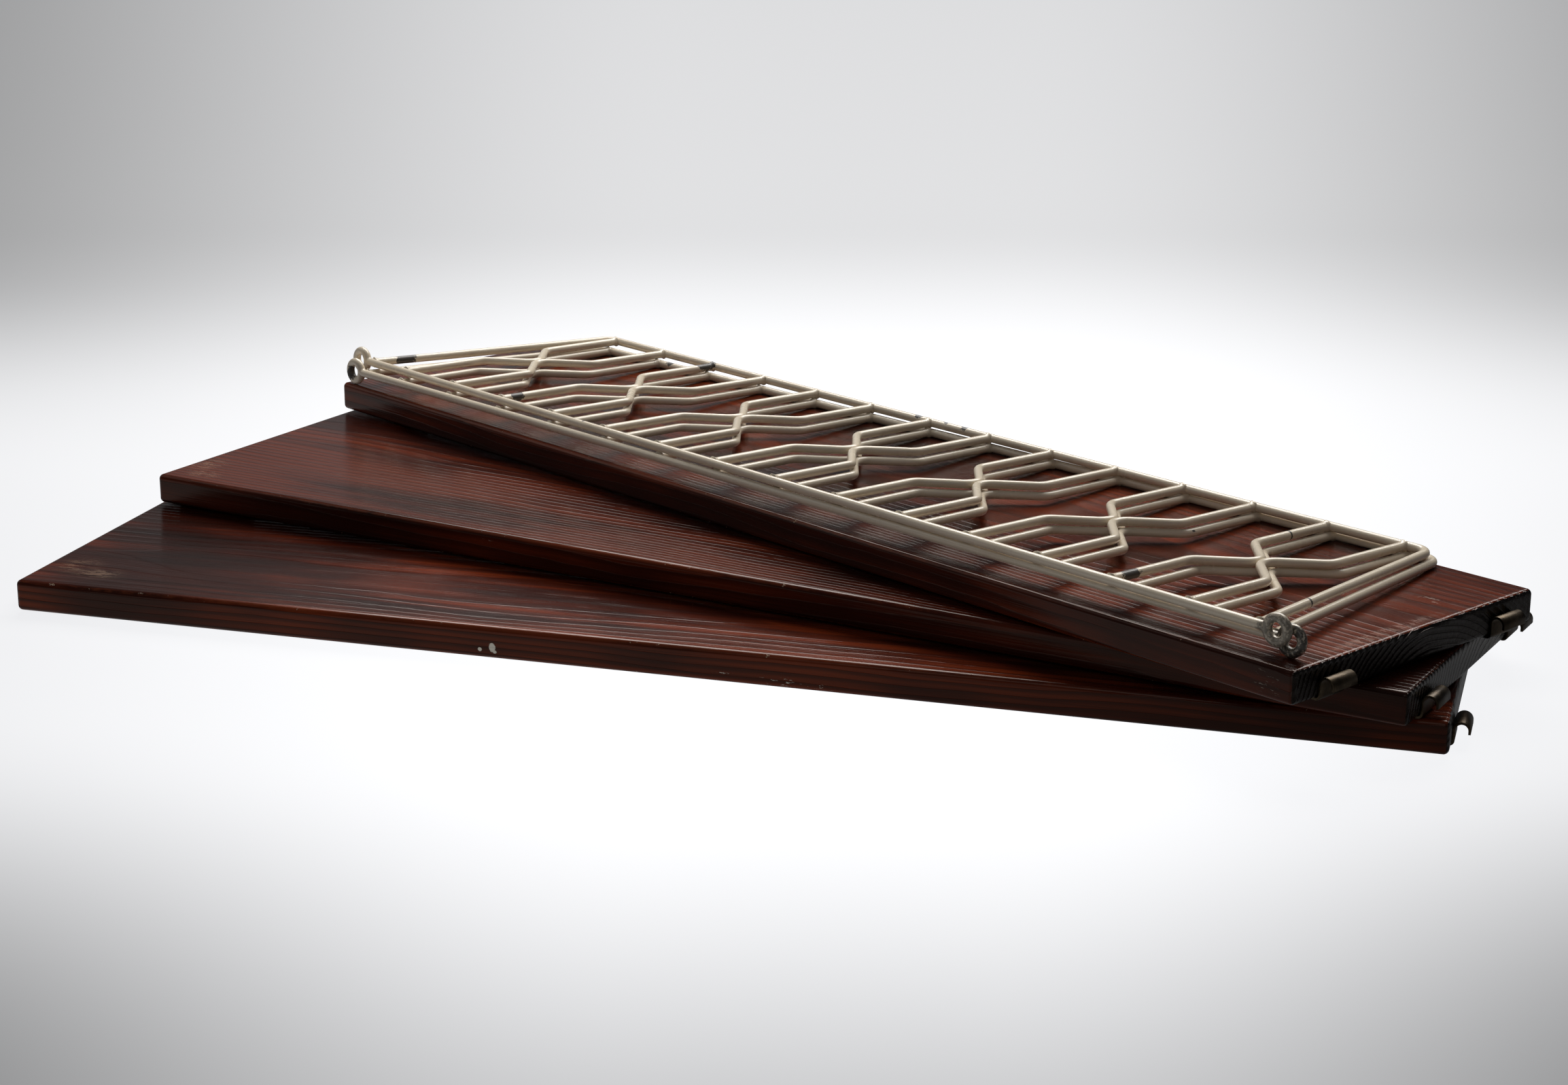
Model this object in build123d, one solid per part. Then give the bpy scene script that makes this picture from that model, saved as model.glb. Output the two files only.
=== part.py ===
from build123d import *
from math import asin, cos, degrees, radians, sin, sqrt
import os

# Hanging shelf, taken down and stacked: three hooked boards fanned on each other, two wire ladders on top.
# Millimetres. +X runs along the top board, +Z is up, and the origin is under the middle of the whole stack.

# Boards
board_length = 800.0
board_depth = 200.0
board_thickness = 18.0
board_edge_radius = 3.0

# Hooks: a flat strap under the board, up its end and curled outwards over a rung
strap_width = 19.0
strap_thickness = 1.3
strap_reach = 46.0          # length screwed under the board
strap_bend_radius = 1.5     # inside of the bend at the board's lower edge
strap_corner_radius = 4.0
hook_inset = 19.5           # board edge to the strap's near edge
hook_bearing_height = 7.2   # curl's centre above the board's underside
hook_tip_drop = 1.9         # tip below the curl's centre
rung_play = 0.6             # between a rung and the inside of the curl

# Screws
screw_shank = 3.6
screw_head = 6.6
screw_length = 13.0
screw_sink = 0.1            # head below the strap's face
screw_slot = 0.9
screw_slot_depth = 0.5
screw_from_end = 14.0       # first screw from the board's end
screw_spacing = 20.0

# Ladders
wire = 5.2
pair_count = 7
rung_pitch = 51.5
rung_offset = -4.5         # rungs set off the middle of the frame, towards the left
ladder_width = 181.0        # rail to rail, between the wires' centres
kink_half = 26.5            # across the ladder, from a rung's bend to its middle
kink_radius = 10.0
corner_radius = 9.0         # where the short rail turns into an end bar
foot_gap = 41.0             # end bar beyond the rungs, at the eyed rail
corner_gap = 11.5           # the same at the short rail
eye_hole = 7.1
eye_neck_radius = 4.0       # where the rail turns up or down into the eye
eye_bar_clearance = 0.3
eye_clearance = 0.3         # between the two ladders' right eyes, side by side

# How the pieces lie
rest_gap = 0.05
middle_turn = 17.5          # degrees from the top board
bottom_turn = 30.9
ladder_turn = -0.2
middle_place = (11.8, -63.3)
bottom_place = (36.0, -131.8)
ladder_place = (-7.1, -88.3)
lower_ladder_slip = (5.2, -1.6)

curl_radius = wire / 2 + rung_play
eye_radius = (eye_hole + wire) / 2
eye_outer = eye_radius + wire / 2
rung_reach = (2 * pair_count - 1) * rung_pitch / 2
bar_foot = rung_reach + foot_gap
far_corner = rung_reach + corner_gap
eye_place = bar_foot + wire / 2 + eye_bar_clearance + eye_outer
board_step = board_thickness + strap_thickness + rest_gap
ladder_tilt = degrees(asin((eye_outer - wire / 2) / ladder_width))
lower_ladder_turn = degrees(asin((wire + eye_clearance - lower_ladder_slip[1]) / eye_place))
ladder_lift = wire + rest_gap + eye_place * sin(radians(lower_ladder_turn)) * sin(radians(ladder_tilt))


def strip(path, width, thickness):
    """Flat strap of one thickness along a path in the XZ plane."""
    start = Plane(origin=path @ 0, x_dir=(0, 1, 0), z_dir=path % 0)
    return sweep(start * Rectangle(width, thickness), path=path)


def rod(path, diameter):
    return sweep(Plane(origin=path @ 0, z_dir=path % 0) * Circle(diameter / 2), path=path)


def make_screw():
    """Countersunk screw, head down, with its head's face at z = 0 and its point in the wood."""
    head_height = strap_thickness - screw_sink
    head = Cone(screw_head / 2, screw_shank / 2, head_height, align=(Align.CENTER, Align.CENTER, Align.MIN))
    shank = Cylinder(screw_shank / 2, screw_length - screw_shank, align=(Align.CENTER, Align.CENTER, Align.MIN))
    point = Cone(screw_shank / 2, 0.2, screw_shank, align=(Align.CENTER, Align.CENTER, Align.MIN))
    top = head_height + screw_length - screw_shank
    return head + Pos(0, 0, head_height) * shank + Pos(0, 0, top) * point


def make_hook():
    """Strap for the board's right end: the board's end face is x = 0 and its underside is z = 0."""
    half = strap_thickness / 2
    bend = strap_bend_radius + half
    curl = curl_radius + half
    flat_end = -strap_bend_radius
    under = Line((-strap_reach, 0, -half), (flat_end, 0, -half))
    leg_x = half
    corner = Plane(origin=(flat_end, 0, strap_bend_radius), x_dir=(1, 0, 0), z_dir=(0, -1, 0))
    corner = corner * CenterArc((0, 0, 0), bend, 270, 90)
    leg = Line((leg_x, 0, strap_bend_radius), (leg_x, 0, hook_bearing_height))
    over = Plane(origin=(leg_x + curl, 0, hook_bearing_height), x_dir=(1, 0, 0), z_dir=(0, -1, 0))
    over = over * CenterArc((0, 0, 0), curl, 180, -180)
    tip_x = leg_x + 2 * curl
    tip = Line((tip_x, 0, hook_bearing_height), (tip_x, 0, hook_bearing_height - hook_tip_drop))
    strap = strip(Wire([under, corner, leg, over, tip]), strap_width, strap_thickness)
    inner_corners = strap.edges().filter_by(Axis.Z).group_by(Axis.X)[0]
    return fillet(inner_corners, strap_corner_radius)


def screw_spots(end, side):
    """Where a hook's screws go, seen from above, for the board's right or left end and back or front side."""
    y = side * (board_depth / 2 - hook_inset - strap_width / 2)
    return [(end * (board_length / 2 - screw_from_end - i * screw_spacing), y) for i in range(2)]


def make_board():
    """One board with its four hooks and eight screws, its underside at z = 0 and its centre at x = y = 0."""
    middle = (Align.CENTER, Align.CENTER, Align.MIN)
    panel = Box(board_length, board_depth, board_thickness, align=middle)
    panel = fillet(panel.edges(), board_edge_radius)
    screw = make_screw()
    slot = Box(screw_head, screw_slot, screw_slot_depth, align=middle)
    hooks, screws = {}, []
    for end_name, end in (("left", -1), ("right", 1)):
        for side_name, side in (("front", -1), ("back", 1)):
            y = side * (board_depth / 2 - hook_inset - strap_width / 2)
            turn = 0 if end > 0 else 180
            hook = Pos(end * board_length / 2, y, 0) * Rot(0, 0, turn) * make_hook()
            for i, spot in enumerate(screw_spots(end, side)):
                place = Pos(*spot, -strap_thickness + screw_sink)
                panel -= place * screw
                hook -= place * screw
                hook -= Pos(*spot, -strap_thickness) * Cylinder(screw_head / 2, screw_sink, align=middle)
                screws.append(place * (screw - Rot(0, 0, 35 + 50 * i) * slot))
            hooks[f"hook_{end_name}_{side_name}"] = hook
    return {"panel": panel, **hooks, "screws": Compound(screws)}


def make_rung(lean):
    """Rung of a pair, kinked towards its partner: lean is 1 or -1 along the ladder."""
    touch = (rung_pitch - wire) / 2
    half_turn = radians(45)
    for _ in range(8):
        rounding = kink_radius * (1 / cos(half_turn) - 1)
        half_turn = asin((touch + rounding) / sqrt((touch + rounding) ** 2 + kink_half ** 2))
    apex = lean * (touch + rounding)
    middle = ladder_width / 2
    points = [(0, 0), (0, middle - kink_half), (apex, middle), (0, middle + kink_half), (0, ladder_width)]
    return rod(FilletPolyline(*points, radius=kink_radius), wire)


def make_eye(end, turns_up):
    """Eye on a rail's end and the neck that leads into it: end is -1 or 1 along the rail."""
    start = sqrt(eye_radius ** 2 + 2 * eye_neck_radius * eye_radius)
    swing = degrees(asin(start / (eye_radius + eye_neck_radius)))
    upward = 1 if turns_up else -1
    level = Plane(origin=(0, 0, 0), x_dir=(-1, 0, 0), z_dir=(0, 1, 0))
    neck = level * CenterArc((start, eye_neck_radius), eye_neck_radius, 270, -swing)
    eye = Rot(90, 0, 0) * Torus(eye_radius, wire / 2) + rod(neck, wire)
    if upward < 0:
        eye = Rot(180, 0, 0) * eye
    if end < 0:
        eye = Rot(0, 0, 180) * eye
    return Pos(end * eye_place, 0, 0) * eye, start


def make_eyed_rail():
    """Long rail at y = 0: its left eye turns up first, its right eye turns down first."""
    left_eye, start = make_eye(-1, True)
    right_eye, start = make_eye(1, False)
    stub = eye_place - start
    return rod(Line((-stub, 0), (stub, 0)), wire) + left_eye + right_eye


def make_bent_frame():
    """Short rail and both end bars, bent from one wire, with their feet at the eyed rail."""
    points = [(-bar_foot, 0), (-far_corner, ladder_width), (far_corner, ladder_width), (bar_foot, 0)]
    return rod(FilletPolyline(*points, radius=corner_radius), wire)


def make_ladder():
    """One ladder, flat, with its eyed rail along y = 0 and its short rail at y = ladder_width."""
    rail = Rot(0, 90, 0) * Cylinder(wire / 2, 2 * eye_place)
    frame = make_bent_frame()
    pieces = {"eyed_rail": make_eyed_rail(), "end_frame": frame - rail}
    for pair in range(pair_count):
        for letter, lean in (("a", 1), ("b", -1)):
            x = rung_offset - rung_reach + (2 * pair + (lean < 0)) * rung_pitch
            rung = Pos(x, 0, 0) * make_rung(lean) - rail - frame
            pieces[f"rung_{pair + 1}{letter}"] = rung.solids().sort_by(SortBy.VOLUME)[-1]
    return pieces


def stack():
    """Every node in place, before the origin is set."""
    nodes = {}
    board = make_board()
    boards = (("bottom_board", bottom_place, bottom_turn), ("middle_board", middle_place, middle_turn),
              ("top_board", (0, 0), 0))
    for level, (name, place, turn) in enumerate(boards):
        move = Pos(*place, strap_thickness + level * board_step) * Rot(0, 0, turn)
        for piece, solid in board.items():
            nodes[f"{name}_{piece}"] = move * solid
    board_top = strap_thickness + 2 * board_step + board_thickness
    upper = Pos(*ladder_place, 0) * Rot(0, 0, ladder_turn)
    lower = upper * Pos(*lower_ladder_slip, 0) * Rot(0, 0, lower_ladder_turn)
    height = board_top + eye_outer + rest_gap
    for name, move, lift in (("lower_ladder", lower, 0), ("upper_ladder", upper, ladder_lift)):
        lean = Pos(0, 0, height) * move * Rot(-ladder_tilt, 0, 0) * Pos(0, 0, lift)
        for piece, solid in make_ladder().items():
            nodes[f"{name}_{piece}"] = lean * solid
    return nodes


def centred(nodes):
    """The stack moved so that the origin is under the middle of its box."""
    box = Compound([solid for node in nodes.values() for solid in node.solids()]).bounding_box()
    move = Pos(-(box.min.X + box.max.X) / 2, -(box.min.Y + box.max.Y) / 2, -box.min.Z)
    return {name: move * solid for name, solid in nodes.items()}


nodes = centred(stack())
os.makedirs("parts", exist_ok=True)
for name, solid in nodes.items():
    export_step(solid, f"parts/{name}.step")
print(len(nodes), "nodes written")
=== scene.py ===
from math import asin, atan2, cos, pi, radians, sin, sqrt, tan

import bmesh
import bpy
from mathutils import Matrix, Vector, noise


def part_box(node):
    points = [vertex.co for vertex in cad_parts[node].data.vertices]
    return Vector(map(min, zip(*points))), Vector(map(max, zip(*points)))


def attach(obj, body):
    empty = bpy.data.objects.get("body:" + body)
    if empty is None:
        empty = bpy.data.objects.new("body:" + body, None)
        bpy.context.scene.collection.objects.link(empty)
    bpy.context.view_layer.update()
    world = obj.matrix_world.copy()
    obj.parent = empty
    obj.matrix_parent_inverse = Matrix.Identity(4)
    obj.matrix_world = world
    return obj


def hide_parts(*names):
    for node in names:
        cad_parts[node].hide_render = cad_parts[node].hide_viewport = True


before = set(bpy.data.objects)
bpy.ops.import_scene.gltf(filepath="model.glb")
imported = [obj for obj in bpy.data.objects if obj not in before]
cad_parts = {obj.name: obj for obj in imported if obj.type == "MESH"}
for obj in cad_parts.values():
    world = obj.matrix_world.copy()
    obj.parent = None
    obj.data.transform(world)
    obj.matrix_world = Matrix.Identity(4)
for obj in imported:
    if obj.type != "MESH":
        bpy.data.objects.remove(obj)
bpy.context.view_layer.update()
print("frame loaded")

mm = 0.001
scene = bpy.context.scene


# Shader maths: a Number wraps a socket, so that expressions add their own nodes
class Number:
    def __init__(self, shader, socket):
        self.shader, self.socket = shader, socket

    def __add__(self, other): return self.shader.math("ADD", self, other)
    def __radd__(self, other): return self.shader.math("ADD", other, self)
    def __sub__(self, other): return self.shader.math("SUBTRACT", self, other)
    def __rsub__(self, other): return self.shader.math("SUBTRACT", other, self)
    def __mul__(self, other): return self.shader.math("MULTIPLY", self, other)
    def __rmul__(self, other): return self.shader.math("MULTIPLY", other, self)
    def __truediv__(self, other): return self.shader.math("DIVIDE", self, other)
    def __pow__(self, other): return self.shader.math("POWER", self, other)
    def __abs__(self): return self.shader.math("ABSOLUTE", self)


class Shader:
    def __init__(self, name):
        self.material = bpy.data.materials.new(name)
        self.material.use_nodes = True
        self.tree = self.material.node_tree
        self.tree.nodes.clear()
        self.output = self.node("ShaderNodeOutputMaterial")
        self.place = self.node("ShaderNodeTexCoord").outputs["Object"]

    def node(self, kind, settings=None, values=None):
        made = self.tree.nodes.new(kind)
        for key, value in (settings or {}).items():
            if key == "stops":
                self.setStops(made.color_ramp, value)
            else:
                setattr(made, key, value)
        for key, value in (values or {}).items():
            self.feed(made.inputs[key], value)
        return made

    def setStops(self, ramp, stops):
        while len(ramp.elements) < len(stops):
            ramp.elements.new(0.5)
        for element, (at, colour) in zip(ramp.elements, stops):
            element.position, element.color = at, (*colour, 1)

    def feed(self, socket, value):
        if isinstance(value, Number):
            value = value.socket
        if isinstance(value, bpy.types.NodeSocket):
            self.tree.links.new(value, socket)
        elif socket.type == "RGBA":
            socket.default_value = (*value, 1)
        else:
            socket.default_value = value

    def math(self, operation, *values):
        made = self.node("ShaderNodeMath", {"operation": operation}, dict(enumerate(values)))
        return Number(self, made.outputs[0])

    def mapped(self, vector, **values):
        return self.node("ShaderNodeMapping", {"vector_type": values.pop("kind", "POINT")},
                         {"Vector": vector, **values}).outputs[0]

    def split(self, vector):
        parts = self.node("ShaderNodeSeparateXYZ", {}, {0: vector}).outputs
        return [Number(self, part) for part in parts]

    def length(self, vector):
        return Number(self, self.node("ShaderNodeVectorMath", {"operation": "LENGTH"}, {0: vector}).outputs["Value"])

    def noise(self, vector, scale, detail=2.0, roughness=0.5, distortion=0.0):
        made = self.node("ShaderNodeTexNoise", {}, {"Vector": vector, "Scale": scale, "Detail": detail,
                                                     "Roughness": roughness, "Distortion": distortion})
        return Number(self, made.outputs["Fac"])

    def soft(self, value, low, high, start=0.0, end=1.0):
        # a smooth step: start up to low, end from high on
        made = self.node("ShaderNodeMapRange", {"interpolation_type": "SMOOTHSTEP"},
                         {"Value": value, "From Min": low, "From Max": high, "To Min": start, "To Max": end})
        return Number(self, made.outputs["Result"])

    def mix(self, factor, first, second, blend="MIX"):
        made = self.node("ShaderNodeMix", {"data_type": "RGBA", "blend_type": blend},
                         {0: factor, 6: first, 7: second})
        return made.outputs[2]

    def largest(self, *values):
        total = values[0]
        for value in values[1:]:
            total = self.math("MAXIMUM", total, value)
        return total

    def spot(self, vector, centre, size, turn=0.0, edge=0.35, ragged=None, rag=0.0):
        # 1 inside an ellipsoid at centre with half sizes size, 0 outside it, with a ragged rim
        far = self.length(self.mapped(vector, kind="TEXTURE", Location=centre, Rotation=(0, 0, turn), Scale=size))
        if ragged is not None:
            far = far + (ragged - 0.5) * rag
        return self.soft(far, 1 - edge / 2, 1 + edge / 2, 1.0, 0.0)

    def bump(self, height, distance, strength=1.0, below=None):
        values = {"Height": height, "Distance": distance, "Strength": strength}
        if below is not None:
            values["Normal"] = below
        return self.node("ShaderNodeBump", {}, values).outputs[0]

    def finish(self, **values):
        surface = self.node("ShaderNodeBsdfPrincipled", {}, {k.replace("_", " "): v for k, v in values.items()})
        self.feed(self.output.inputs["Surface"], surface.outputs[0])
        return self.material


# Stained and varnished boards
boards = {
    "bottom_board": {"turn": 30.9, "pith": (-0.035, -0.085), "seed": 3.1, "light": 0.74, "ringPitch": 0.0036, "hairs": 0.75},
    "middle_board": {"turn": 17.5, "pith": (0.060, -0.070), "seed": 8.4, "light": 0.46, "ringPitch": 0.0039, "hairs": 0.5},
    "top_board": {"turn": 0.0, "pith": (0.018, -0.060), "seed": 5.7, "light": 0.56, "ringPitch": 0.0034, "hairs": 0.30},
}
boardSize = (0.800, 0.200, 0.018)
woodLook = {
    "darkStain": (0.0125, 0.0034, 0.0020),
    "redStain": (0.056, 0.0080, 0.0030),
    "warmStain": (0.235, 0.036, 0.0075),
    "bareWood": (0.42, 0.215, 0.085),
    "rubbedEdgeAndHighlight": (0.26, 0.060, 0.022),
    "chipWood": (0.55, 0.38, 0.24),
    "endPaint": (0.0035, 0.0030, 0.0030),
    "paintSpeck": (0.84, 0.79, 0.67),
}
# Places on each board: x from its middle, y from its middle, z from its underside, then half sizes, in millimetres
boardMarks = {
    "bottom_board": {
        "worn": [((-380, -64, 18), (12, 12, 4)), ((-362, -74, 18), (14, 9, 4))],
        "chips": [((-377, -100, 18), (2.6, 1.6, 1.0)), ((-321, -100, 17.8), (3.0, 1.3, 0.8))],
        "specks": [((-109, -100, 6.4), (1.9, 2, 2.6)), ((-116, -100, 4.9), (1.2, 2, 1.1)), ((-107.5, -100, 4.2), (1.1, 2, 1.0))],
        "scratches": [((55, -100, 3.4), (11, 2, 2.4)), ((74, -100, 2.6), (9, 2, 1.8)), ((20, -100, 6.0), (6, 2, 1.0))],
    },
    "middle_board": {
        "worn": [((-388, -66, 18), (9, 12, 4)), ((-376, -84, 18), (10, 7, 4))],
        "chips": [((-240, -100, 17.8), (1.6, 0.8, 0.6))],
        "specks": [],
        "scratches": [((-150, -100, 14), (5, 2, 1))],
    },
    "top_board": {
        "worn": [((392, -20, 18), (4, 40, 2))],
        "chips": [((266, -100, 17.9), (1.9, 0.8, 0.6)), ((303, -100, 17.8), (1.5, 0.8, 0.7)),
                  ((321, -100, 17.8), (1.7, 0.8, 0.7)), ((120, -100, 17.9), (1.2, 0.7, 0.5))],
        "specks": [],
        "scratches": [((384, -100, 9), (7, 2, 6)), ((255, -20, 18), (6, 3, 1)), ((376, 44, 18), (8, 4, 1))],
    },
}


def stainedWood(name, board, marks):
    s = Shader(f"{name}_stained_wood")
    low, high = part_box(f"{name}_panel")
    centre = ((low.x + high.x) / 2, (low.y + high.y) / 2, low.z)
    p = s.mapped(s.place, kind="TEXTURE", Location=centre, Rotation=(0, 0, radians(board["turn"])))
    x, y, z = s.split(p)
    shift = (board["seed"], board["seed"] * 0.7, board["seed"] * 0.3)
    wander = s.noise(s.mapped(p, Scale=(2.2, 9, 9), Location=shift), 1.0, 2.0)
    ripple = s.noise(s.mapped(p, Scale=(14, 60, 60), Location=shift), 1.0, 2.0)
    fibre = s.noise(s.mapped(p, Scale=(9, 900, 900), Location=shift), 1.0, 3.0, 0.6)
    streak = s.noise(s.mapped(p, Scale=(1.7, 70, 70), Location=shift), 1.0, 3.0, 0.55)
    cloud = s.noise(s.mapped(p, Scale=(5, 11, 11), Location=shift), 1.0, 3.0, 0.55)
    pithY, pithZ = board["pith"]
    across, up = y - pithY, z - pithZ
    reach = s.math("SQRT", across * across + up * up) + (wander - 0.5) * 0.030 + (ripple - 0.5) * 0.0022
    ring = s.math("FRACT", reach / board["ringPitch"])
    lateWood = s.soft(ring, 0.30, 0.86) * s.soft(ring, 0.93, 1.0, 1.0, 0.0)
    # colour: dark stain in the late wood and the pores, warmer where the varnish is thin
    warmth = s.soft(cloud + (streak - 0.5) * 0.7, 0.40, 0.68) * board["light"]
    colour = s.mix(s.soft(streak * 0.38 + cloud * 0.62, 0.30, 0.58), woodLook["darkStain"], woodLook["redStain"])
    colour = s.mix(warmth * (1 - lateWood * 0.55), colour, woodLook["warmStain"])
    colour = s.mix(s.soft(fibre, 0.50, 0.72) * 0.45, colour, woodLook["darkStain"])
    colour = s.mix(lateWood * (0.50 - s.soft(z, 0.0165, 0.0175) * 0.26), colour, woodLook["darkStain"])
    rag = s.noise(s.mapped(p, Scale=(120, 420, 420), Location=shift), 1.0, 3.0, 0.65)
    fineRag = s.noise(p, 1600.0, 2.0, 0.6)
    millimetres = lambda triple: tuple(v * mm for v in triple)
    gather = lambda kind, edge, field, amount: [
        s.spot(p, millimetres(at), millimetres(size), edge=edge, ragged=field, rag=amount) for at, size in marks[kind]]
    worn = s.largest(*gather("worn", 1.3, rag, 2.2)) * s.soft(rag + (fibre - 0.5) * 0.4, 0.42, 0.66)
    colour = s.mix(worn * 0.22, colour, woodLook["bareWood"])
    # arrises: stain rubbed thin all round and lighter there as a painted highlight, with small nicks
    halfX, halfY, deep = (v * 0.5 for v in boardSize)
    outX, outY = abs(x) - (halfX - 0.0021), abs(y) - (halfY - 0.0021)
    outZ = abs(z - deep) - (deep - 0.0021)
    clamp = lambda v: s.math("MAXIMUM", v, 0.0)
    top = s.largest(s.math("MINIMUM", clamp(outX), clamp(outZ)), s.math("MINIMUM", clamp(outY), clamp(outZ)),
                    s.math("MINIMUM", clamp(outX), clamp(outY)))
    arris = s.soft(top, 0.0002, 0.0006)
    # the lighter arris colour is partly rubbed stain, partly a painted highlight along the edges
    rubbed = arris * s.soft(streak + (rag - 0.5) * 0.6, 0.42, 0.62)
    colour = s.mix(rubbed * 0.30, colour, woodLook["rubbedEdgeAndHighlight"])
    nicks = arris * s.soft(s.noise(p, 210.0, 3.0, 0.7), 0.68, 0.715)
    colour = s.mix(nicks * 0.8, colour, woodLook["chipWood"])
    # end grain: thick black paint
    ends = s.soft(abs(x), halfX - 0.0019, halfX - 0.0011) * s.soft(z + (rag - 0.5) * 0.0012, 0.0172, 0.0176, 1.0, 0.0)
    colour = s.mix(ends, colour, woodLook["endPaint"])
    chips = s.largest(*gather("chips", 0.3, fineRag, 1.6))
    colour = s.mix(chips, colour, woodLook["chipWood"])
    height = lateWood * 0.34 + (fibre - 0.5) * 0.55 + (ripple - 0.5) * 0.3
    dents = nicks + chips
    if marks["specks"]:
        specks = s.largest(*gather("specks", 0.25, rag, 1.3))
        colour = s.mix(specks, colour, woodLook["paintSpeck"])
        dents = dents - specks
    if marks["scratches"]:
        hairs = s.noise(s.mapped(p, Scale=(160, 400, 900), Rotation=(0, 0.5, 0)), 1.0, 3.0, 0.7)
        scratches = s.largest(*gather("scratches", 0.9, rag, 0.8)) * s.soft(hairs, 0.60, 0.64)
        colour = s.mix(scratches * board["hairs"], colour, woodLook["paintSpeck"])
    fine = s.bump(height, 0.00022, 0.9)
    normal = s.bump(ends * (lateWood * 1.3 + (fineRag - 0.5) * 0.4 + (rag - 0.5) * 0.9) - dents * 1.2, 0.0004, 0.9, fine)
    gloss = 0.15 + s.soft(cloud, 0.35, 0.7) * 0.05 + worn * 0.30 + s.soft(fibre, 0.45, 0.75) * 0.05 + dents * 0.3 - ends * 0.01
    return s.finish(Base_Color=colour, Roughness=gloss, Normal=normal, IOR=1.34, Specular_Tint=(1.0, 0.79, 0.67))


for name, board in boards.items():
    wood = stainedWood(name, board, boardMarks[name])
    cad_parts[f"{name}_panel"].material_slots[0].material = wood
print("boards stained")


# Where the ladders lie: the same placing as the frame's wires, in metres
ladders = {
    "wire": 5.2 * mm, "rungPitch": 51.5 * mm, "rungOffset": -4.5 * mm, "width": 181.0 * mm, "pairs": 7,
    "footGap": 41.0 * mm, "cornerGap": 11.5 * mm, "eyeHole": 7.1 * mm,
    "place": (-7.1 * mm, -88.3 * mm), "turn": -0.2, "slip": (5.2 * mm, -1.6 * mm), "gap": 0.05 * mm, "eyeGap": 0.3 * mm,
}
rungReach = (2 * ladders["pairs"] - 1) * ladders["rungPitch"] / 2
barFoot = rungReach + ladders["footGap"]
farCorner = rungReach + ladders["cornerGap"]
eyeRadius = (ladders["eyeHole"] + ladders["wire"]) / 2
eyeOuter = eyeRadius + ladders["wire"] / 2
eyePlace = barFoot + ladders["wire"] / 2 + 0.3 * mm + eyeOuter
ladderTilt = asin((eyeOuter - ladders["wire"] / 2) / ladders["width"])
lowerTurn = asin((ladders["wire"] + ladders["eyeGap"] - ladders["slip"][1]) / eyePlace)
upperLift = ladders["wire"] + ladders["gap"] + eyePlace * sin(lowerTurn) * sin(ladderTilt)


def ladderPlace(upper):
    low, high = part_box("top_board_panel")
    height = high.z + eyeOuter + ladders["gap"]
    centre = Matrix.Translation(((low.x + high.x) / 2, (low.y + high.y) / 2, height))
    move = Matrix.Translation((*ladders["place"], 0)) @ Matrix.Rotation(radians(ladders["turn"]), 4, "Z")
    if not upper:
        move = move @ Matrix.Translation((*ladders["slip"], 0)) @ Matrix.Rotation(lowerTurn, 4, "Z")
    lift = upperLift if upper else 0.0
    return centre @ move @ Matrix.Rotation(-ladderTilt, 4, "X") @ Matrix.Translation((0, 0, lift))


# Cream enamel, chipped to the dark wire; places along and across each ladder, then half length, in millimetres
enamelLook = {
    "cream": (0.800, 0.695, 0.540), "thin": (0.71, 0.595, 0.435), "grime": (0.22, 0.17, 0.11),
    "wire": (0.060, 0.050, 0.041), "wornSteelAndShade": (0.045, 0.040, 0.034),
}
chipped = {
    "upper_ladder": [((-371.7, 24.5, 0), (4.5, 8.5, 5)), ((-236, 13.5, 1), (5, 5.5, 4)), ((-236, 173, 1.5), (4, 9, 3.5)),
                     ((-40, 181, 1.8), (3.2, 2.4, 2.4)), ((-16, 181, 2.2), (2.0, 2, 2)), ((0, 181, 1.8), (3.2, 2.4, 2.4)),
                     ((279, 15, 0.5), (5, 7.5, 4)), ((278.7, 146, 1), (4, 0.9, 4)), ((367.7, 49, 1), (4, 1.0, 4)),
                     ((42, 0, 1), (1.4, 1.4, 1.4)), ((-150, 0, 2), (1.2, 1.2, 1.2))],
    "lower_ladder": [((-275, 181, 2), (3.6, 2.6, 3)), ((-391, 0, -2), (4, 5, 5)), ((230, 120, 2), (1.2, 2, 1.2))],
}


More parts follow.
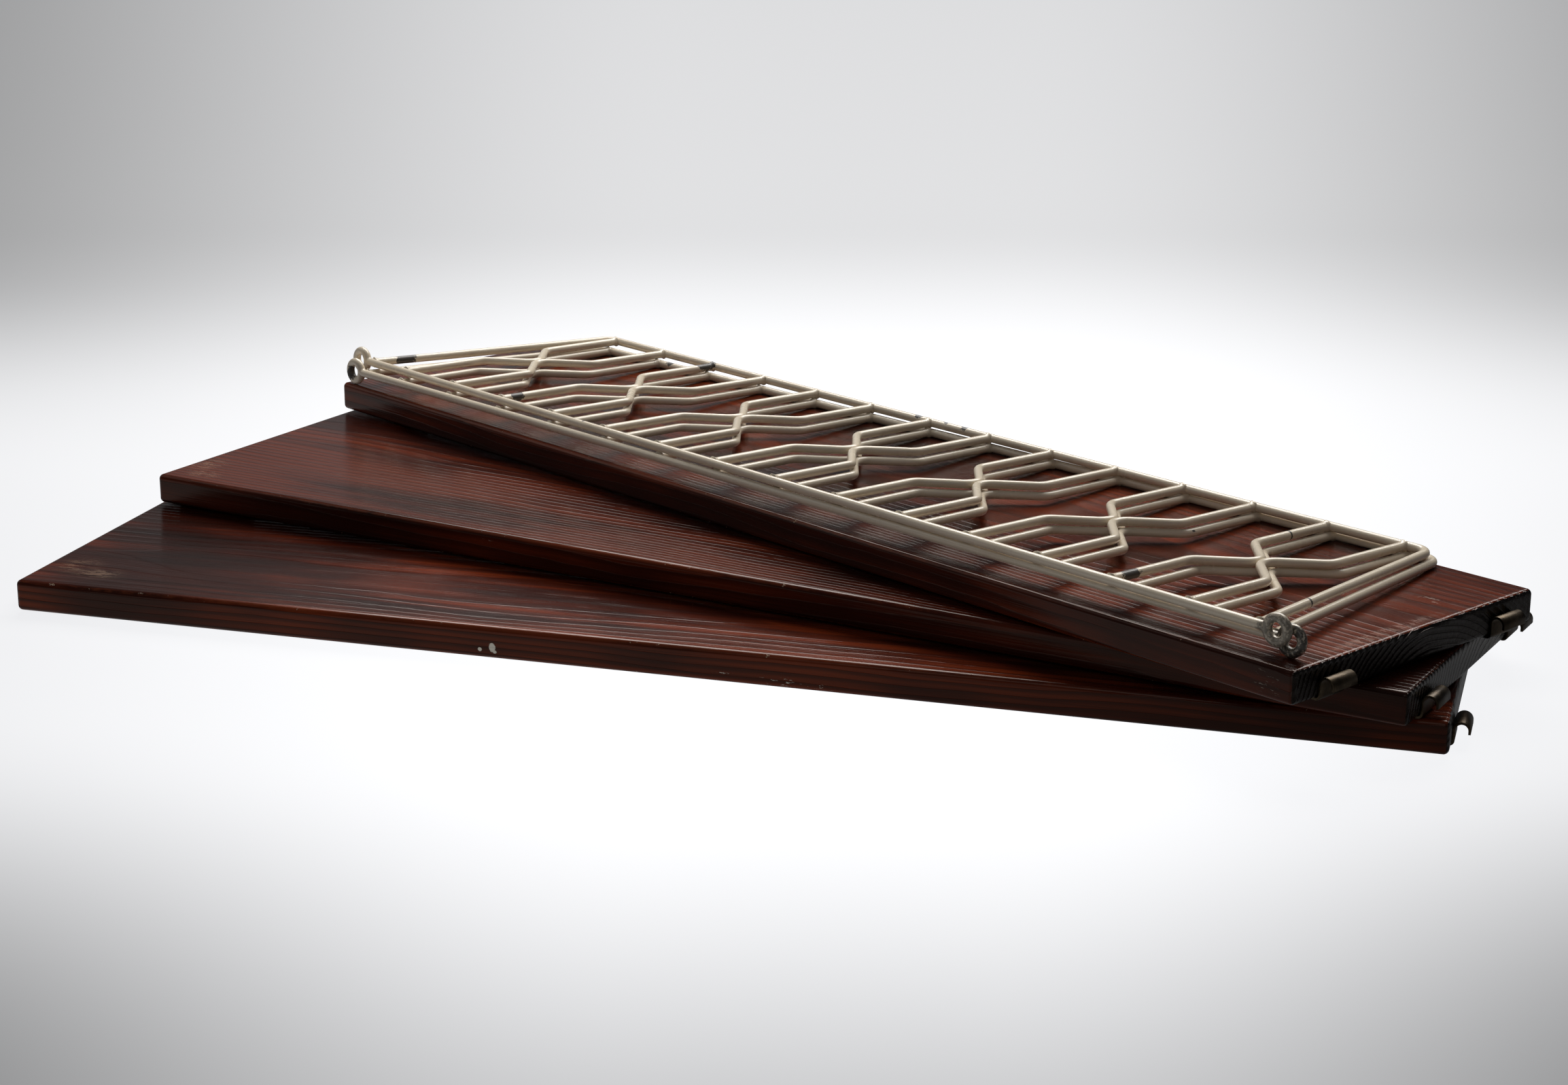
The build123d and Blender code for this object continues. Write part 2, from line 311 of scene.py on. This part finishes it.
def creamEnamel(name):
    s = Shader(f"{name}_cream_enamel")
    p = s.place
    upper = name == "upper_ladder"
    place = ladderPlace(upper)
    turn = radians(ladders["turn"]) + (0 if upper else lowerTurn)
    drift = s.noise(p, 38.0, 3.0, 0.6)
    lumps = s.noise(p, 190.0, 2.0, 0.5)
    rag = s.noise(p, 520.0, 3.0, 0.7)
    specks = s.noise(p, 900.0, 2.0, 0.6)
    far = [s.spot(p, place @ (Vector(at) * mm), tuple(v * mm for v in size), turn, 0.12, rag, 1.5) for at, size in chipped[name]]
    dots = s.soft(specks, 0.745, 0.76) * s.soft(drift, 0.5, 0.62)
    bare = s.largest(dots, *far)
    # round each ladder's right eye: a dark worn-steel patch that is also painted shade on the ring
    rightEye = place @ Vector((eyePlace, 0, 0))
    rubbed = s.spot(p, rightEye, (0.0115,) * 3, 0, 0.25, rag, 0.9) * (0.4 + s.soft(rag, 0.36, 0.52) * 0.6)
    colour = s.mix(s.soft(drift, 0.40, 0.72) * 0.55, enamelLook["cream"], enamelLook["thin"])
    colour = s.mix(s.soft(rag * 0.5 + lumps * 0.5, 0.60, 0.75) * 0.12, colour, enamelLook["grime"])
    # the eye's wear and painted shade are stronger on the lower ladder
    rubbed = rubbed * (0.72 if upper else 0.95)
    colour = s.mix(rubbed, colour, enamelLook["wornSteelAndShade"])
    colour = s.mix(bare, colour, enamelLook["wire"])
    normal = s.bump(lumps * 0.7 + (rag - 0.5) * 0.02 - bare * 0.5, 0.00026, 0.30)
    gloss = 0.24 + s.soft(drift, 0.4, 0.7) * 0.10 + bare * 0.28 + rubbed * 0.12
    return s.finish(Base_Color=colour, Roughness=gloss, Metallic=rubbed * 0.35, Normal=normal,
                    Coat_Weight=0.3, Coat_Roughness=0.12)


enamel = {name: creamEnamel(name) for name in ("lower_ladder", "upper_ladder")}
for name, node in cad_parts.items():
    if "ladder" in name:
        node.material_slots[0].material = enamel["upper_ladder" if name.startswith("upper") else "lower_ladder"]
print("ladders enamelled")


# Weld beads where the rungs meet the rails and the end bars meet the eyed rail
weldLook = {"reach": 3.1 * mm, "flare": 1.0 * mm, "segments": 20, "uneven": 0.35 * mm}


def addBead(bm, place, direction, seed):
    # a collar round a rung's end: its axis runs from the rail's middle along the rung
    wireRadius = ladders["wire"] / 2
    profile = []
    for step in range(7):
        t = step / 6
        along = wireRadius * 0.55 + t * (weldLook["reach"] + wireRadius * 0.45)
        radius = wireRadius * 0.985 + weldLook["flare"] * (1 - t) ** 2.2
        profile.append((along, radius))
    made = [bm.verts.new((0, 0, profile[0][0]))]
    made += [bm.verts.new((radius, 0, along)) for along, radius in profile]
    made.append(bm.verts.new((0, 0, profile[-1][0])))
    edges = [bm.edges.new(pair) for pair in zip(made, made[1:])]
    before = set(bm.verts)
    spun = bmesh.ops.spin(bm, geom=made + edges, cent=(0, 0, 0), axis=(0, 0, 1), steps=weldLook["segments"], angle=2 * pi, use_merge=True)
    verts = list({v for v in bm.verts if v not in before} | set(made))
    verts = [v for v in verts if v.is_valid]
    turn = Vector((0, 0, 1)).rotation_difference(direction).to_matrix().to_4x4()
    bmesh.ops.transform(bm, matrix=place @ turn, verts=verts)
    for v in verts:
        wobble = noise.noise(v.co * 420 + Vector((seed, 0, 0)))
        centre = place.translation
        v.co += (v.co - centre).normalized() * wobble * weldLook["uneven"]


def makeWelds(name):
    place = ladderPlace(name == "upper_ladder")
    bm = bmesh.new()
    seed = 0.0
    for rung in range(2 * ladders["pairs"]):
        x = ladders["rungOffset"] - rungReach + rung * ladders["rungPitch"]
        for y, way in ((0.0, 1), (ladders["width"], -1)):
            seed += 1.7
            addBead(bm, place @ Matrix.Translation((x, y, 0)), Vector((0, way, 0)), seed)
    for end in (-1, 1):
        seed += 1.7
        bar = Vector((end * (farCorner - barFoot), ladders["width"], 0)).normalized()
        addBead(bm, place @ Matrix.Translation((end * barFoot, 0, 0)), bar, seed)
    bmesh.ops.remove_doubles(bm, verts=bm.verts, dist=1e-6)
    bmesh.ops.recalc_face_normals(bm, faces=bm.faces)
    mesh = bpy.data.meshes.new(f"{name}_welds")
    bm.to_mesh(mesh)
    bm.free()
    mesh.shade_smooth()
    welds = bpy.data.objects.new(mesh.name, mesh)
    scene.collection.objects.link(welds)
    mesh.materials.append(enamel[name])
    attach(welds, name)
    return welds


for name in enamel:
    makeWelds(name)
print("welds made")


# Bronzed hooks and screws
metalLook = {"bronze": (0.085, 0.062, 0.038), "tarnish": (0.040, 0.029, 0.019), "rubbed": (0.17, 0.135, 0.09),
             "screw": (0.23, 0.20, 0.165), "rust": (0.10, 0.045, 0.02)}


def hookBronze():
    s = Shader("hook_bronze")
    p = s.place
    patches = s.noise(p, 90.0, 3.0, 0.6)
    grit = s.noise(p, 900.0, 3.0, 0.6)
    colour = s.mix(s.soft(patches, 0.38, 0.66), metalLook["tarnish"], metalLook["bronze"])
    colour = s.mix(s.soft(patches * 0.6 + grit * 0.4, 0.54, 0.66) * 0.5, colour, metalLook["rubbed"])
    normal = s.bump(patches * 0.5 + grit * 0.12, 0.00015, 0.5)
    return s.finish(Base_Color=colour, Metallic=1.0, Roughness=0.34 + s.soft(patches, 0.3, 0.7) * 0.14, Normal=normal)


def screwSteel():
    s = Shader("screw_steel_worn")
    p = s.place
    patches = s.noise(p, 420.0, 3.0, 0.6)
    colour = s.mix(s.soft(patches, 0.5, 0.7), metalLook["screw"], metalLook["rust"])
    return s.finish(Base_Color=colour, Metallic=s.soft(patches, 0.5, 0.7, 1.0, 0.5), Roughness=0.42, Normal=s.bump(patches, 0.0001, 0.5))


bronze, steel = hookBronze(), screwSteel()
for name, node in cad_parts.items():
    if "hook" in name:
        node.material_slots[0].material = bronze
    if "screws" in name:
        node.material_slots[0].material = steel

# The straps' cut edges are eased, so that they catch the light
hookEase = {"sharp": 40, "width": 0.28 * mm, "segments": 2}


def easeHook(name):
    bm = bmesh.new()
    bm.from_mesh(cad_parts[name].data)
    bmesh.ops.remove_doubles(bm, verts=bm.verts, dist=2e-6)
    bmesh.ops.dissolve_limit(bm, angle_limit=radians(0.5), verts=bm.verts, edges=bm.edges)
    rims = [e for e in bm.edges if len(e.link_faces) == 2 and e.calc_face_angle() > radians(hookEase["sharp"])]
    bmesh.ops.bevel(bm, geom=rims, offset=hookEase["width"], offset_type="OFFSET", affect="EDGES", clamp_overlap=True,
                    segments=hookEase["segments"], profile=0.5, material=-1)
    bmesh.ops.triangulate(bm, faces=bm.faces)
    mesh = bpy.data.meshes.new(f"{name}_eased")
    bm.to_mesh(mesh)
    bm.free()
    mesh.set_sharp_from_angle(angle=radians(32))
    hook = bpy.data.objects.new(mesh.name, mesh)
    scene.collection.objects.link(hook)
    mesh.materials.append(bronze)
    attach(hook, name[:name.index("_hook")])
    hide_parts(name)


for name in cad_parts:
    if "_hook_" in name:
        easeHook(name)
print("metal finished")


# Camera to the front right, a little above the stack
view = {"turn": -47.475, "down": 16.529, "roll": -0.185, "place": (1.20604, -1.04830, 0.51702), "lens": 67.58}
turn, down, roll = (radians(view[k]) for k in ("turn", "down", "roll"))
ahead = Vector((sin(turn) * cos(down), cos(turn) * cos(down), -sin(down)))
right = ahead.cross(Vector((0, 0, 1))).normalized()
below = ahead.cross(right)
right, below = cos(roll) * right + sin(roll) * below, -sin(roll) * right + cos(roll) * below
camera = bpy.data.objects.new("camera", bpy.data.cameras.new("camera"))
scene.collection.objects.link(camera)
camera.matrix_world = Matrix.Translation(view["place"]) @ Matrix((right, -below, -ahead)).transposed().to_4x4()
camera.data.lens, camera.data.sensor_width = view["lens"], 36
camera.data.clip_start, camera.data.clip_end = 0.05, 60
scene.camera = camera

# Pale glowing sweep: a floor that curves up behind the stack
sweep = {"near": -14.0, "bend": 1.55, "radius": 1.6, "top": 4.0, "half": 14.0}


def makeSweep():
    s = Shader("pale_sweep")
    forward = Vector((ahead.x, ahead.y, 0)).normalized()
    side = Vector((-forward.y, forward.x, 0))
    bm = bmesh.new()
    profile = [(sweep["near"], 0.0), (sweep["bend"], 0.0)]
    for step in range(1, 25):
        a = radians(90 * step / 24)
        profile.append((sweep["bend"] + sweep["radius"] * sin(a), sweep["radius"] * (1 - cos(a))))
    profile.append((sweep["bend"] + sweep["radius"], sweep["top"]))
    line = [bm.verts.new(forward * along + Vector((0, 0, up - 0.0003)) - side * sweep["half"]) for along, up in profile]
    edges = [bm.edges.new(pair) for pair in zip(line, line[1:])]
    made = bmesh.ops.extrude_edge_only(bm, edges=edges)["geom"]
    bmesh.ops.translate(bm, verts=[v for v in made if isinstance(v, bmesh.types.BMVert)], vec=side * 2 * sweep["half"])
    bmesh.ops.recalc_face_normals(bm, faces=bm.faces)
    mesh = bpy.data.meshes.new("sweep")
    bm.to_mesh(mesh)
    bm.free()
    mesh.shade_smooth()
    floor = bpy.data.objects.new("sweep", mesh)
    scene.collection.objects.link(floor)
    # brightest under the stack, dimmer towards the edges
    p = s.mapped(s.place, kind="TEXTURE", Location=(0.02, 0.0, 0.0), Rotation=(0, 0, atan2(forward.y, forward.x)))
    along, across, up = s.split(p)
    near = 0.34 + s.soft(along, -0.80, -0.22) * 0.66 + s.soft(along, -1.5, -0.72, 0.55, 0.0)
    far = s.soft(along, 0.50, 1.25, 1.0, 0.64) * s.soft(up, 0.02, 1.3, 1.0, 0.50)
    aside = abs(across / (s.math("MAXIMUM", along, -0.9) + 1.78) + 0.03)
    edgeward = s.soft(aside, 0.05, 0.33) * s.soft(aside, 0.45, 1.2, 1.0, 0.3) * s.soft(along, -1.0, -0.64)
    sides = 1 - edgeward * s.largest(s.soft(along, -0.55, -0.15, 0.66, 0.22), s.soft(along, 0.30, 1.0, 0.22, 0.60))
    seen = Number(s, s.node("ShaderNodeLightPath").outputs["Is Camera Ray"])
    # what the varnish mirrors: bright behind the stack's left, dim behind its right
    mirrored = 1 - (0.80 + s.soft(along, 0.45, 0.9) * 0.20) * s.soft(across, -0.50, 0.42, 0.90, 0.0)
    glow = near * far * sides * (mirrored * 0.46 * (1 - seen) + seen * 1.04)
    emit = s.node("ShaderNodeEmission", {}, {"Color": (0.975, 0.98, 1.0), "Strength": glow})
    matt = s.node("ShaderNodeBsdfDiffuse", {}, {"Color": (0.07, 0.07, 0.07)})
    both = s.node("ShaderNodeAddShader", {}, {0: emit.outputs[0], 1: matt.outputs[0]})
    s.feed(s.output.inputs["Surface"], both.outputs[0])
    mesh.materials.append(s.material)


makeSweep()

# Soft light: a big box high behind the stack, a dim one over the camera
softBoxes = {
    "highBack": {"place": (-0.9, 1.3, 1.9), "size": (2.4, 1.6), "power": 78, "colour": (1.0, 0.985, 0.96)},
    "leftSide": {"place": (-1.6, -0.9, 1.2), "size": (1.2, 1.2), "power": 2, "colour": (1.0, 0.98, 0.96)},
    "front": {"place": (1.1, -1.7, 1.7), "size": (1.4, 1.0), "power": 2.5, "colour": (0.98, 0.99, 1.0)},
}
for name, box in softBoxes.items():
    lamp = bpy.data.lights.new(name, "AREA")
    lamp.shape, (lamp.size, lamp.size_y) = "RECTANGLE", box["size"]
    lamp.energy, lamp.color = box["power"], box["colour"]
    holder = bpy.data.objects.new(name, lamp)
    scene.collection.objects.link(holder)
    aim = (Vector((0, 0, 0.05)) - Vector(box["place"])).to_track_quat("-Z", "Y").to_matrix().to_4x4()
    holder.matrix_world = Matrix.Translation(box["place"]) @ aim

world = bpy.data.worlds.new("studio")
world.use_nodes = True
world.node_tree.nodes["Background"].inputs["Color"].default_value = (0.92, 0.94, 1.0, 1)
world.node_tree.nodes["Background"].inputs["Strength"].default_value = 0.07
scene.world = world
scene.view_settings.view_transform = "Standard"
print("stage lit")
